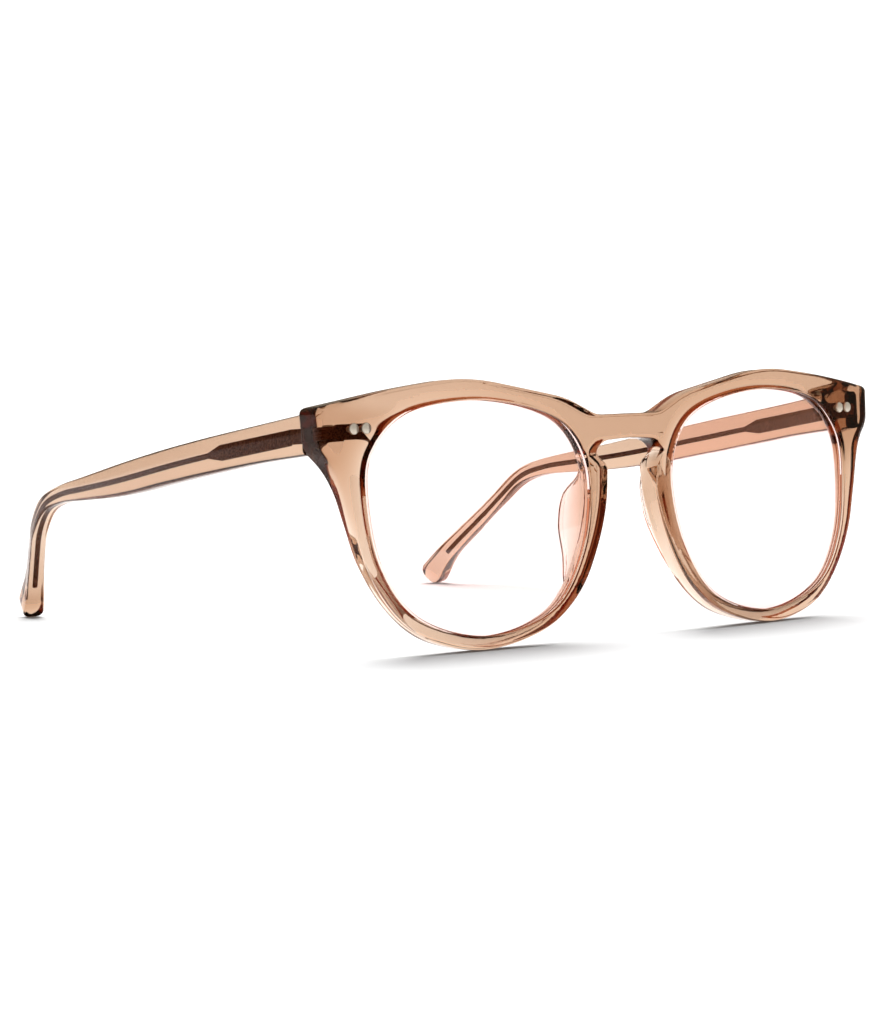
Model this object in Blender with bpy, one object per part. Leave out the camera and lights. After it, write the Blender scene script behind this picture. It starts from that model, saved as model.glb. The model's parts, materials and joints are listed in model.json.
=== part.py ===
"""Acetate eyeglasses with a keyhole bridge, clear filter lenses and hinged temples.

Sizes are in millimetres and are turned into metres when a mesh is made. The front is drawn in
its own frame: x across the face, y from the front face towards the ears, z up, with z = 0 near
the middle of the lenses. The empty "stance" leans that frame back and sets the glasses down on
their rims and temple tips. Left and right are the wearer's, so the left side is +x.
"""

import math

import bmesh
import bpy
from mathutils import Vector

MM = 0.001

# Front
FRONT_RADIUS = 535.0        # the front is bowed round the face on this radius
BRIDGE_THICKNESS = 4.8
RIM_THICKNESS = 3.9         # the outer rims get thinner downwards
RIM_THINNING = (-10.0, 9.8)     # z where they stop and start doing so
BROW_THICKNESS = 4.5        # above the rims and up to the end blocks
BRIDGE_TO_BROW = (18.0, 46.0)   # x where the bridge's thickness turns into that of the sides
END_THICKNESS = 5.8         # the end blocks that hold the hinges are thicker
BLOCK_FROM_X = 36.0         # the end block lies outside this x, between the next two ramps
BLOCK_BOTTOM = (3.0, 13.0)  # z where the back face rises to the end block, coming up the rim
BLOCK_TOP = ((52.7, 18.6), (64.0, 21.0))    # x, z of two points on the ramp below the brow
BLOCK_TOP_RAMP = 2.0        # half the width of that ramp
OPENING_RAMP = (0.3, 2.5)   # distances from the opening between which the block rises
OPENING_RAMP_ENDS = (12.0, 15.0)    # z where that ramp gives way to the hinge leaf
EDGE_ROUND = 0.6            # every edge of the front, but for the others below
OPENING_ROUND = 0.3         # round the lens openings, in front and behind
OPENING_BACK_ROUND = 1.8
OUTER_FRONT_ROUND = 0.9
OUTER_BACK_ROUND = 1.3
OUTER_ROUND_X = (20.0, 48.0)
END_FRONT_ROUND = 1.4       # at the ends, where the temples meet the blocks
END_BACK_ROUND = 0.3
END_ROUND_X = (63.0, 69.0)
LEAN = math.radians(3.74)   # the front leans back while it stands
STANCE_HEIGHT = 24.65       # height of the front's z = 0 above the floor
STANCE_BACK = -63.054       # y of the front face, so that the origin is below the middle

# Lens opening
GROOVE = (0.7, 2.7)         # y of the groove's two sides, behind the front face
GROOVE_DEPTH = 0.9
LENS_THICKNESS = 1.4
LENS_INSET = 0.6            # how far the lens edge reaches into the groove
LENS_CROWN = 1.2            # the middle of the lens bulges forward by this much
LENS_RINGS = (0.35, 0.65, 0.88, 1.0)    # sizes of the rings that carry the lens's faces

# Hinge
HINGE_X = 63.5
HINGE_Y = 11.9
HINGE_Z = 15.7              # middle of the knuckles
KNUCKLE_RADIUS = 1.25
KNUCKLE_BORE = 0.8
BORE_REACH = 5.0            # half the length of the tool that bores the knuckles
KNUCKLE_HEIGHT = 0.6
KNUCKLE_PITCH = 0.9
ARM_HALF_WIDTH = 0.8        # of the arms that join the knuckles to their leaves
SCREW_RADIUS = 0.5
SCREW_HEAD_RADIUS = 1.0
SCREW_HEAD_HEIGHT = 0.35
LEAF_THICKNESS = 0.8
LEAF_X = (57.4, 66.6)
LEAF_Z = 16.1               # middle of the leaf in the end block
LEAF_HEIGHT = 2.8
LEAF_NOTCH = 1.5            # depth of the fish tail
LEAF_NECK_X = (64.2, 64.8)  # x where the leaf narrows
LEAF_NECK_HEIGHT = 2.2
TEMPLE_LEAF_X = (67.05, 67.75)
TEMPLE_LEAF_Y = (11.1, 14.9)            # start and end of the leaf in the temple
TEMPLE_LEAF_Z = (14.5, 17.1)            # its lower and upper edge

# Rivet pins in the front face
PIN_X = (60.05, 62.6)
PIN_Z = 16.55
PIN_HEAD_RADIUS = 1.02
PIN_HEAD_DEPTH = 0.6
PIN_RADIUS = 0.55
PIN_LENGTH = 2.6
PIN_TOOL_START = -1.0       # the tool for a pin's hole starts in front of the face

# Temple and its core
PLATE_HALF_HEIGHT = 1.38
PLATE_HALF_THICKNESS = 0.45
WIRE_RADIUS = 0.5
PLATE_START_Y = 15.2
PLATE_MIDDLE_Y = 24.0
PLATE_SHOULDER_Y = 34.5
PLATE_TIP_Y = 38.5
WIRE_START = 4.0            # length of the pointed end's run into the plain wire
WIRE_END_Y = 122.0
CHANNEL_OVERRUN = 0.8       # the channel goes on past the end of the wire
CHANNEL_SLOPE = 0.1         # and slopes up by this share towards the hinge end
BAR_ROUND = 0.9             # rounding of the temple's edges, along its bar and round its tail
TAIL_ROUND = 0.45
TAIL_START_Y = (80.0, 100.0)
TIP_LENGTH = 2.6            # of the rounded cap on the temple's end
TIP_ANGLE = math.radians(79.4)          # that the cap's arc turns through
TIP_STEPS = 3
SLOT_PAST_AXIS = (1.0, 3.0)             # the slot for the hinge reaches past its axis, x and y

GAP = 0.3                   # clearance kept between neighbouring solids
LONGEST_EDGE = 6.0          # along the front's outlines
OUTLINE_TURN = 14.0         # most degrees between two neighbouring edges of an outline
OPENING_TURN = 10.0
BRIDGE_CUT_X = 4.0          # x of extra edges across the front, which carry its shape
RIM_CUT_X = 34.0

# Half of the front's outline, x and z, from the middle of the bridge's top outwards, down the
# outer rim, under the lens and up the nose side to the keyhole. A third number marks a corner
# and says how far along its two sides it is rounded; the other points lie on smooth curves.
OUTLINE = (
    (0.0, 17.15), (7.9, 17.15, 1.6), (15.0, 20.55, 3.0), (37.9, 25.2, 7.0), (54.3, 23.2),
    (69.8, 20.6, 1.3), (69.5, 13.4, 1.8), (66.1, 8.7), (63.6, 0.0), (61.3, -7.6),
    (56.9, -15.0), (51.0, -20.6), (44.0, -23.4), (36.3, -24.4), (27.6, -23.1), (19.9, -20.1),
    (13.5, -14.4), (9.2, -6.8), (6.7, 0.6), (5.85, 7.6, 1.2), (8.7, 10.0, 0.9),
    (6.9, 12.2, 2.0), (0.0, 12.6),
)

# The left lens opening, x and z, clockwise seen from the front.
OPENING = (
    (10.4, 4.2), (13.2, 13.0), (20.8, 18.1), (35.8, 20.7), (51.0, 18.9), (58.8, 12.5),
    (60.4, 4.2), (58.2, -8.3), (50.8, -17.8), (36.0, -21.9), (21.0, -18.2), (13.1, -8.2),
)

# Left nose pad: z, then x and y of its foot's two sides and of its crest.
PAD_STATIONS = (
    (7.6, 7.2, 9.2, 8.3, 5.9),
    (5.8, 7.0, 10.0, 8.6, 6.7),
    (2.5, 7.0, 10.4, 10.2, 9.0),
    (-3.0, 8.6, 11.3, 11.4, 9.3),
    (-8.7, 10.8, 13.0, 12.5, 7.4),
    (-12.5, 12.9, 14.6, 13.8, 6.1),
)

PAD_WAIST = 0.45            # height share at which the pad's two sides bend
PAD_CREST = 1.3             # width of the rounded crest

# Middle line of the left temple: x, y, z, half its height and half its thickness.
TEMPLE = (
    (67.15, 10.8, 16.0, 3.7, 2.1),
    (68.1, 24.0, 14.9, 3.4, 2.1),
    (68.5, 38.0, 13.55, 3.35, 2.1),
    (67.9, 52.0, 12.15, 3.3, 2.1),
    (66.8, 65.0, 10.75, 3.2, 2.1),
    (65.8, 75.0, 9.8, 2.9, 2.05),
    (64.4, 86.0, 9.0, 2.3, 1.95),
    (63.2, 96.0, 8.2, 1.7, 1.75),
    (62.5, 103.5, 6.3, 1.5, 1.6),
    (61.0, 109.6, 1.9, 1.5, 1.55),
    (58.5, 115.1, -3.2, 1.6, 1.55),
    (55.5, 121.2, -9.1, 1.95, 1.75),
    (54.0, 125.25, -13.89, 2.6, 2.1),
)


def clear_scene():
    for item in list(bpy.data.objects):
        bpy.data.objects.remove(item, do_unlink=True)


def make_material(name, colour, roughness, metallic=0.0, transmission=0.0, alpha=1.0):
    material = bpy.data.materials.new(name)
    material.use_nodes = True
    shader = material.node_tree.nodes["Principled BSDF"]
    shader.inputs["Base Color"].default_value = (*colour, 1.0)
    shader.inputs["Roughness"].default_value = roughness
    shader.inputs["Metallic"].default_value = metallic
    shader.inputs["Transmission Weight"].default_value = transmission
    shader.inputs["Alpha"].default_value = alpha
    return material


# ---------------------------------------------------------------- curves

def spline(points, steps=12):
    """Catmull-Rom curve through the points; every number of a point is interpolated."""
    count = len(points)
    curve = []
    for index in range(count - 1):
        p1, p2 = points[index], points[index + 1]
        p0 = points[index - 1] if index > 0 else [2 * a - b for a, b in zip(p1, p2)]
        p3 = points[index + 2] if index + 2 < count else [2 * b - a for a, b in zip(p1, p2)]
        for step in range(steps):
            t = step / steps
            curve.append(tuple(
                0.5 * (2 * b + (c - a) * t + (2 * a - 5 * b + 4 * c - d) * t ** 2
                       + (3 * b - a - 3 * c + d) * t ** 3)
                for a, b, c, d in zip(p0, p1, p2, p3)))
    curve.append(tuple(points[-1]))
    return curve


def closed_spline(points, steps=24):
    """Catmull-Rom loop through the points, without repeating the first one."""
    padded = points[-2:] + points + points[:2]
    curve = spline(padded, steps)
    return curve[2 * steps:(len(points) + 2) * steps]


def cut_back(path, distance):
    """The path from its start up to the given distance before its end."""
    path = list(path)
    while len(path) > 2 and math.dist(path[-1], path[-2]) < distance:
        distance -= math.dist(path[-1], path[-2])
        path.pop()
    share = min(0.9, distance / math.dist(path[-1], path[-2]))
    path[-1] = tuple(a + (b - a) * share for a, b in zip(path[-1], path[-2]))
    return path


def round_corner(before, after, size, steps=8):
    """Joins two stretches that meet in a corner by a smooth turn of the given size."""
    corner = after[0]
    before = cut_back(before, size)
    after = cut_back(after[::-1], size)[::-1]
    turn = []
    for step in range(1, steps):
        t = step / steps
        turn.append(tuple((1 - t) ** 2 * a + 2 * t * (1 - t) * b + t ** 2 * c
                          for a, b, c in zip(before[-1], corner, after[0])))
    return before + turn, after


def cornered_path(points):
    """Path through points (x, z) or (x, z, corner size), smooth except at the corners."""
    marks = [i for i, point in enumerate(points) if len(point) == 3]
    stops = [0] + marks + [len(points) - 1]
    path = []
    for start, stop in zip(stops, stops[1:]):
        stretch = spline([point[:2] for point in points[start:stop + 1]], 24)
        if path:
            path, stretch = round_corner(path, stretch, points[start][2])
        path += stretch[1:] if path and path[-1] == stretch[0] else stretch
    return path


def resample(loop, longest, sharpest):
    """Closed loop with points set closer where it turns: a step is at most `longest` long
    and turns by at most `sharpest` degrees."""
    count = len(loop)
    cost = [0.0]
    for index in range(count):
        a, b, c = loop[index - 1], loop[index], loop[(index + 1) % count]
        turn = math.atan2(c[1] - b[1], c[0] - b[0]) - math.atan2(b[1] - a[1], b[0] - a[0])
        turn = abs(math.degrees(math.remainder(turn, math.tau)))
        cost.append(cost[-1] + math.dist(b, c) / longest + turn / sharpest)
    steps = math.ceil(cost[-1])
    points = []
    index = 0
    for step in range(steps):
        goal = cost[-1] * step / steps
        while cost[index + 1] < goal:
            index += 1
        share = (goal - cost[index]) / (cost[index + 1] - cost[index])
        a, b = loop[index], loop[(index + 1) % count]
        points.append((a[0] + (b[0] - a[0]) * share, a[1] + (b[1] - a[1]) * share))
    return points


def inward_normals(loop):
    """Unit normals of a clockwise loop's points, pointing to its inside."""
    count = len(loop)
    normals = []
    for index in range(count):
        a, b = loop[index - 1], loop[(index + 1) % count]
        length = math.dist(a, b)
        normals.append(((b[1] - a[1]) / length, (a[0] - b[0]) / length))
    return normals


def offset(loop, distance):
    """Clockwise loop moved inwards by a distance, or outwards by a negative one."""
    return [(x + nx * distance, z + nz * distance)
            for (x, z), (nx, nz) in zip(loop, inward_normals(loop))]


def front_outline():
    """The whole outline of the front, clockwise seen from the front."""
    half = cornered_path(OUTLINE)
    mirrored = [(-x, z) for x, z in half[::-1]]
    loop = half + mirrored[1:-1]
    return resample(loop, LONGEST_EDGE, OUTLINE_TURN)


def lens_opening(side):
    """One lens opening, clockwise; side is 1 for the left lens and -1 for the right."""
    loop = closed_spline(list(OPENING))
    if side < 0:
        loop = [(-x, z) for x, z in loop[::-1]]
    return resample(loop, LONGEST_EDGE, OPENING_TURN)


OPENING_EDGE = closed_spline(list(OPENING))


def bow(x):
    """How far the front's curve has gone back at x."""
    return x * x / (2 * FRONT_RADIUS)


def blend(value, limits):
    """Rises smoothly from 0 at the first limit to 1 at the second."""
    share = (value - limits[0]) / (limits[1] - limits[0])
    share = min(1.0, max(0.0, share))
    return share * share * (3 - 2 * share)


def below_block_top(x, z):
    """Distance of a point below the line on which the end block's top ramp runs."""
    (x1, z1), (x2, z2) = BLOCK_TOP
    return ((abs(x) - x1) * (z2 - z1) - (z - z1) * (x2 - x1)) / math.dist(*BLOCK_TOP)


def from_opening(x, z):
    """Distance of a point from the edge of the lens opening on its side."""
    return min(math.dist((abs(x), z), point) for point in OPENING_EDGE)


def thickness(x, z):
    """Thickness of the front: thinner at the lower rims and thicker at the end blocks."""
    rim = RIM_THICKNESS + (BROW_THICKNESS - RIM_THICKNESS) * blend(z, RIM_THINNING)
    rim = BRIDGE_THICKNESS + (rim - BRIDGE_THICKNESS) * blend(abs(x), BRIDGE_TO_BROW)
    if abs(x) < BLOCK_FROM_X or z < BLOCK_BOTTOM[0]:
        return rim
    share = blend(below_block_top(x, z), (-BLOCK_TOP_RAMP, BLOCK_TOP_RAMP))
    share *= blend(z, BLOCK_BOTTOM)
    share *= max(blend(from_opening(x, z), OPENING_RAMP), blend(z, OPENING_RAMP_ENDS))
    return rim + (END_THICKNESS - rim) * share


def end_back(x):
    """y of the end block's back face."""
    return bow(x) + END_THICKNESS


# ---------------------------------------------------------------- meshes

def finish(name, bm, material, parent, smooth_angle=35.0):
    """Turns a bmesh in millimetres into an object; under an axis its place is taken off first."""
    bmesh.ops.recalc_face_normals(bm, faces=bm.faces)
    shift = parent.location if parent.parent else Vector()
    for vertex in bm.verts:
        vertex.co = vertex.co * MM - shift
    mesh = bpy.data.meshes.new(name)
    bm.to_mesh(mesh)
    bm.free()
    mesh.materials.append(material)
    mesh.shade_smooth()
    mesh.set_sharp_from_angle(angle=math.radians(smooth_angle))
    item = bpy.data.objects.new(name, mesh)
    bpy.context.collection.objects.link(item)
    item.parent = parent
    return item


def add_ring(bm, points):
    return [bm.verts.new(point) for point in points]


def bridge(bm, first, second):
    """Band of faces between two rings of the same count."""
    count = len(first)
    for i in range(count):
        j = (i + 1) % count
        bm.faces.new((first[i], first[j], second[j], second[i]))


def loft(bm, rings, closed_ends=True):
    rings = [add_ring(bm, ring) for ring in rings]
    for first, second in zip(rings, rings[1:]):
        bridge(bm, first, second)
    if closed_ends:
        bm.faces.new(rings[0])
        bm.faces.new(rings[-1][::-1])
    return rings


def ring_edges(rings):
    edges = []
    for ring in rings:
        for i, vertex in enumerate(ring):
            other = ring[(i + 1) % len(ring)]
            edges.append(next(e for e in vertex.link_edges if other in e.verts))
    return edges


def rounded_edge(front_round, back_round, depth, steps=2):
    """Profile of a rounded edge as (inset, depth) pairs, from the front face to the back."""
    profile = []
    for step in range(steps + 1):
        angle = math.pi / 2 * step / steps
        profile.append((front_round * (1 - math.sin(angle)),
                        front_round * (1 - math.cos(angle))))
    for step in range(steps + 1):
        angle = math.pi / 2 * step / steps
        profile.append((back_round * (1 - math.cos(angle)),
                        depth - back_round * (1 - math.sin(angle))))
    return profile


def turned(radii_and_depths, segments=20, start=(0.0, 0.0, 0.0), axis="y"):
    """Solid of revolution along y or z as a bmesh, from (radius, distance) pairs."""
    bm = bmesh.new()
    rings = []
    for radius, distance in radii_and_depths:
        ring = []
        for i in range(segments):
            angle = math.tau * i / segments
            across, other = radius * math.cos(angle), radius * math.sin(angle)
            point = (across, distance, other) if axis == "y" else (across, other, distance)
            ring.append(tuple(a + b for a, b in zip(point, start)))
        rings.append(ring)
    loft(bm, rings)
    return bm


def box(bm, low, high):
    corners = [(x, y, z) for z in (low[2], high[2])
               for x, y in ((low[0], low[1]), (high[0], low[1]),
                            (high[0], high[1]), (low[0], high[1]))]
    loft(bm, [corners[:4], corners[4:]])


def use_boolean(item, tool, operation):
    modifier = item.modifiers.new(operation.lower(), "BOOLEAN")
    modifier.operation = operation
    modifier.object = tool
    tool.hide_render = True
    tool.display_type = "WIRE"


def mirrored(points, side):
    return [(side * x, y, z) for x, y, z in points]


# ---------------------------------------------------------------- front

def outer_wall_rings():
    """Rings round the outside of the front, from the front face to the back."""
    outline = front_outline()
    rings = [[] for _ in rounded_edge(0.0, 0.0, 0.0)]
    for (x, z), (nx, nz) in zip(outline, inward_normals(outline)):
        outer = blend(abs(x), OUTER_ROUND_X)
        front_round = EDGE_ROUND + (OUTER_FRONT_ROUND - EDGE_ROUND) * outer
        front_round += (END_FRONT_ROUND - front_round) * blend(abs(x), END_ROUND_X)
        back_round = EDGE_ROUND + (OUTER_BACK_ROUND - EDGE_ROUND) * outer
        back_round += (END_BACK_ROUND - back_round) * blend(z, BLOCK_BOTTOM) * outer
        profile = rounded_edge(front_round, back_round, BRIDGE_THICKNESS)
        for ring, (inset, depth) in zip(rings, profile):
            ring.append((x + nx * inset, depth, z + nz * inset))
    return rings


def make_front(material, stance):
    """The front is drawn flat and as thick as its bridge, then thickened and bowed."""
    bm = bmesh.new()
    borders = [loft(bm, outer_wall_rings(), closed_ends=False)]
    edge = rounded_edge(OPENING_ROUND, OPENING_BACK_ROUND, BRIDGE_THICKNESS)
    half = len(edge) // 2
    grooved = edge[:half] + [(0.0, GROOVE[0]), (GROOVE_DEPTH, GROOVE[0]),
                             (GROOVE_DEPTH, GROOVE[1]), (0.0, GROOVE[1])] + edge[half:]
    for side in (1, -1):
        opening = lens_opening(side)
        rings = [[(x, depth, z) for x, z in offset(opening, -inset)] for inset, depth in grooved]
        borders.append(loft(bm, rings, closed_ends=False))
    for end in (0, -1):
        edges = ring_edges([border[end] for border in borders])
        bmesh.ops.triangle_fill(bm, edges=edges, use_beauty=True)
    cuts = (BRIDGE_CUT_X, RIM_CUT_X, LEAF_X[0] - GAP)
    planes = [((side * x, 0, 0), (1, 0, 0)) for x in cuts for side in (1, -1)]
    heights = (RIM_THINNING[0], sum(RIM_THINNING) / 2, BLOCK_BOTTOM[0],
               sum(BLOCK_BOTTOM) / 2, BLOCK_BOTTOM[1])
    planes += [((0, 0, z), (0, 0, 1)) for z in heights]
    (x1, z1), (x2, z2) = BLOCK_TOP
    for side in (1, -1):
        for shift in (-BLOCK_TOP_RAMP, 0.0, BLOCK_TOP_RAMP):
            planes.append(((side * x1, 0, z1 + shift), (side * (z1 - z2), 0, x2 - x1)))
    for place, normal in planes:
        geometry = bm.verts[:] + bm.edges[:] + bm.faces[:]
        bmesh.ops.bisect_plane(bm, geom=geometry, plane_co=place, plane_no=normal)
    lip = BRIDGE_THICKNESS - GROOVE[1]
    for vertex in bm.verts:
        x, y, z = vertex.co
        share = max(0.0, (y - GROOVE[1]) / lip)
        vertex.co.y = y + share * (thickness(x, z) - BRIDGE_THICKNESS) + bow(x)
    front = finish("frame_front", bm, material, stance)
    for side in (1, -1):
        for tool in front_tools(side, material, stance):
            use_boolean(front, tool, "DIFFERENCE")
    return front


def front_tools(side, material, stance):
    """Solids that leave room for a hinge leaf and for the rivet pins of one side."""
    tools = []
    bm = bmesh.new()
    floor = end_back(LEAF_X[0]) - LEAF_THICKNESS - 2 * GAP
    half_height = LEAF_HEIGHT / 2 + GAP
    ends = sorted((side * (LEAF_X[0] - GAP), side * (LEAF_X[1] + GAP)))
    box(bm, (ends[0], floor, LEAF_Z - half_height), (ends[1], HINGE_Y, LEAF_Z + half_height))
    tools.append(finish(f"pocket_tool_{side}", bm, material, stance))
    for x in PIN_X:
        head = PIN_HEAD_RADIUS + GAP
        shank = PIN_RADIUS + GAP
        step = PIN_HEAD_DEPTH + GAP
        bm = turned([(head, PIN_TOOL_START), (head, step), (shank, step),
                     (shank, PIN_LENGTH + GAP)], start=(side * x, bow(x), PIN_Z))
        tools.append(finish(f"pin_tool_{side}_{x:.0f}", bm, material, stance))
    return tools


def make_lens(side, name, material, stance):
    """Lens that follows the front's curve, crowned forward in the middle."""
    bm = bmesh.new()
    edge = offset(lens_opening(side), -LENS_INSET)
    middle = side * 0.5 * (OPENING[0][0] + OPENING[6][0])
    depth = sum(GROOVE) / 2
    surfaces = []
    for face in (-1, 1):
        rings = []
        for share in LENS_RINGS:
            crown = LENS_CROWN * (1 - share * share)
            points = [(middle + (x - middle) * share, z * share) for x, z in edge]
            rings.append([(x, bow(x) + depth - crown + face * LENS_THICKNESS / 2, z)
                          for x, z in points])
        surfaces.append(loft(bm, rings, closed_ends=False))
        centre = bm.verts.new((middle, bow(middle) + depth - LENS_CROWN
                               + face * LENS_THICKNESS / 2, 0.0))
        inner = surfaces[-1][0]
        for i, vertex in enumerate(inner):
            bm.faces.new((vertex, inner[(i + 1) % len(inner)], centre))
    bridge(bm, surfaces[0][-1], surfaces[1][-1])
    return finish(name, bm, material, stance)


def make_nose_pad(side, name, material, stance):
    """Pad on the back of the rim beside the nose, leaning out towards the eye."""
    bm = bmesh.new()
    rings = []
    for z, foot_in, foot_out, crest_x, crest_y in spline(PAD_STATIONS, 2):
        foot = BRIDGE_THICKNESS + bow(foot_in) + GAP
        middle = foot + (crest_y - foot) * PAD_WAIST
        nose_side = foot_in + (crest_x - foot_in) * PAD_WAIST - PAD_CREST / 4
        eye_side = foot_out + (crest_x - foot_out) * PAD_WAIST
        ring = [(foot_in, foot, z), (nose_side, middle, z),
                (crest_x - PAD_CREST / 2, crest_y - PAD_CREST / 3, z), (crest_x, crest_y, z),
                (crest_x + PAD_CREST / 2, crest_y - PAD_CREST / 3, z),
                (eye_side, middle, z), (foot_out, foot, z)]
        rings.append(mirrored(ring, side))
    loft(bm, rings)
    return finish(name, bm, material, stance)


def make_rivet_pin(side, x, name, material, stance):
    bm = turned([(PIN_HEAD_RADIUS, 0.0), (PIN_HEAD_RADIUS, PIN_HEAD_DEPTH),
                 (PIN_RADIUS, PIN_HEAD_DEPTH), (PIN_RADIUS, PIN_LENGTH)],
                start=(side * x, bow(x), PIN_Z))
    return finish(name, bm, material, stance)


# ---------------------------------------------------------------- hinge

def knuckle_centre(index):
    """Height of one of the three knuckles, 0 being the lowest."""
    return HINGE_Z + (index - 1) * KNUCKLE_PITCH


def knuckle(side, index, arm_low, arm_high, material, parent, name):
    """A bored knuckle with the arm that joins it to its leaf, as an outline pushed up."""
    bm = bmesh.new()
    low = knuckle_centre(index) - KNUCKLE_HEIGHT / 2
    high = low + KNUCKLE_HEIGHT
    disc = turned([(KNUCKLE_RADIUS, low), (KNUCKLE_RADIUS, high)],
                  start=(side * HINGE_X, HINGE_Y, 0.0), axis="z")
    item = finish(name, disc, material, parent)
    xs = sorted((side * arm_low[0], side * arm_high[0]))
    box(bm, (xs[0], arm_low[1], low), (xs[1], arm_high[1], high))
    arm = finish(name + "_arm_tool", bm, material, parent)
    use_boolean(item, arm, "UNION")
    return item


def bore_tool(side, parent, material):
    bm = turned([(KNUCKLE_BORE, HINGE_Z - BORE_REACH), (KNUCKLE_BORE, HINGE_Z + BORE_REACH)], 16,
                start=(side * HINGE_X, HINGE_Y, 0.0), axis="z")
    return finish(f"bore_tool_{parent.name}", bm, material, parent)


def make_front_hinge(side, name, material, stance):
    """Fish-tailed leaf sunk in the end block's back, with two knuckles."""
    bm = bmesh.new()
    back = end_back(LEAF_X[0])
    half, neck = LEAF_HEIGHT / 2, LEAF_NECK_HEIGHT / 2
    shape = [(LEAF_X[0], half), (LEAF_NECK_X[0], half), (LEAF_NECK_X[1], neck),
             (LEAF_X[1], neck), (LEAF_X[1], -neck), (LEAF_NECK_X[1], -neck),
             (LEAF_NECK_X[0], -half), (LEAF_X[0], -half), (LEAF_X[0] + LEAF_NOTCH, 0.0)]
    rings = [mirrored([(x, back - GAP - depth, LEAF_Z + z) for x, z in shape], side)
             for depth in (LEAF_THICKNESS, 0.0)]
    loft(bm, rings)
    leaf = finish(name, bm, material, stance)
    for index in (0, 2):
        ring = knuckle(side, index, (HINGE_X - ARM_HALF_WIDTH, back - GAP - LEAF_THICKNESS / 2),
                       (HINGE_X + ARM_HALF_WIDTH, HINGE_Y),
                       material, stance, f"{name}_knuckle_tool_{index}")
        use_boolean(leaf, ring, "UNION")
    use_boolean(leaf, bore_tool(side, stance, material), "DIFFERENCE")
    return leaf


def make_temple_hinge(side, name, material, axis):
    """Leaf sunk in the temple's end, with one knuckle reaching in to the axis."""
    bm = bmesh.new()
    xs = sorted(side * x for x in TEMPLE_LEAF_X)
    box(bm, (xs[0], TEMPLE_LEAF_Y[0], TEMPLE_LEAF_Z[0]),
        (xs[1], TEMPLE_LEAF_Y[1], TEMPLE_LEAF_Z[1]))
    leaf = finish(name, bm, material, axis)
    ring = knuckle(side, 1, (HINGE_X, HINGE_Y - ARM_HALF_WIDTH),
                   (sum(TEMPLE_LEAF_X) / 2, HINGE_Y + ARM_HALF_WIDTH),
                   material, axis, f"{name}_knuckle_tool")
    use_boolean(leaf, ring, "UNION")
    use_boolean(leaf, bore_tool(side, axis, material), "DIFFERENCE")
    return leaf


def make_screw(side, name, material, stance):
    top = knuckle_centre(2) + KNUCKLE_HEIGHT / 2 + GAP
    bottom = knuckle_centre(0) - KNUCKLE_HEIGHT / 2
    bm = turned([(SCREW_RADIUS, bottom), (SCREW_RADIUS, top), (SCREW_HEAD_RADIUS, top),
                 (SCREW_HEAD_RADIUS * 0.8, top + SCREW_HEAD_HEIGHT)], 16,
                start=(side * HINGE_X, HINGE_Y, 0.0), axis="z")
    return finish(name, bm, material, stance)


# ---------------------------------------------------------------- temple

def sweep_frame(points, index):
    """Middle, side and up directions of a station on a swept path."""
    before = Vector(points[max(0, index - 1)][:3])
    after = Vector(points[min(len(points) - 1, index + 1)][:3])
    along = (after - before).normalized()
    across = along.cross(Vector((0, 0, 1))).normalized()
    return Vector(points[index][:3]), across, across.cross(along)


def rounded_section(middle, across, up, half_thickness, half_height, radius, steps=2):
    """Rounded rectangle of four corners, each an arc with steps + 1 points."""
    radius = min(radius, half_thickness * 0.98, half_height * 0.98)
    ring = []
    for corner, (sx, sz) in enumerate(((1, 1), (-1, 1), (-1, -1), (1, -1))):
        for step in range(steps + 1):
            angle = math.pi / 2 * (corner + step / steps)
            x = sx * (half_thickness - radius) + radius * math.cos(angle)
            z = sz * (half_height - radius) + radius * math.sin(angle)
            ring.append(middle + across * x + up * z)
    return ring


def core_size(y):
    """Half thickness and half height of the core at y: a plate, a pointed end, then wire."""
    share = min(1.0, max(0.0, (y - PLATE_SHOULDER_Y) / (PLATE_TIP_Y - PLATE_SHOULDER_Y)))
    height = PLATE_HALF_HEIGHT + (WIRE_RADIUS - PLATE_HALF_HEIGHT) * share
    thickness = PLATE_HALF_THICKNESS + (WIRE_RADIUS - PLATE_HALF_THICKNESS) * share
    return thickness, height


def core_stations(path):
    """Stations of the temple's path that carry the core, with its plate's ends among them."""
    stations = []
    for y in (PLATE_START_Y, PLATE_MIDDLE_Y, PLATE_SHOULDER_Y, PLATE_TIP_Y):
        after = next(i for i, point in enumerate(path) if point[1] > y)
        a, b = path[after - 1], path[after]
        share = (y - a[1]) / (b[1] - a[1])
        stations.append(tuple(p + (q - p) * share for p, q in zip(a, b)))
    stations += [p for p in path if PLATE_TIP_Y + WIRE_START < p[1] < WIRE_END_Y][::2]
    return stations


def core_rings(path, extra):
    """Rings of the core, or with an extra size those of the channel that holds it."""
    stations = core_stations(path)
    rings = []
    for index, station in enumerate(stations):
        middle, across, up = sweep_frame(stations, index)
        thickness, height = core_size(station[1])
        rings.append(rounded_section(middle, across, up, thickness + extra, height + extra,
                                     WIRE_RADIUS + extra))
    return rings


def make_core_wire(side, name, material, axis):
    bm = bmesh.new()
    rings = core_rings(spline(TEMPLE, 4), 0.0)
    loft(bm, [mirrored(ring, side) for ring in rings])
    return finish(name, bm, material, axis)


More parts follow.
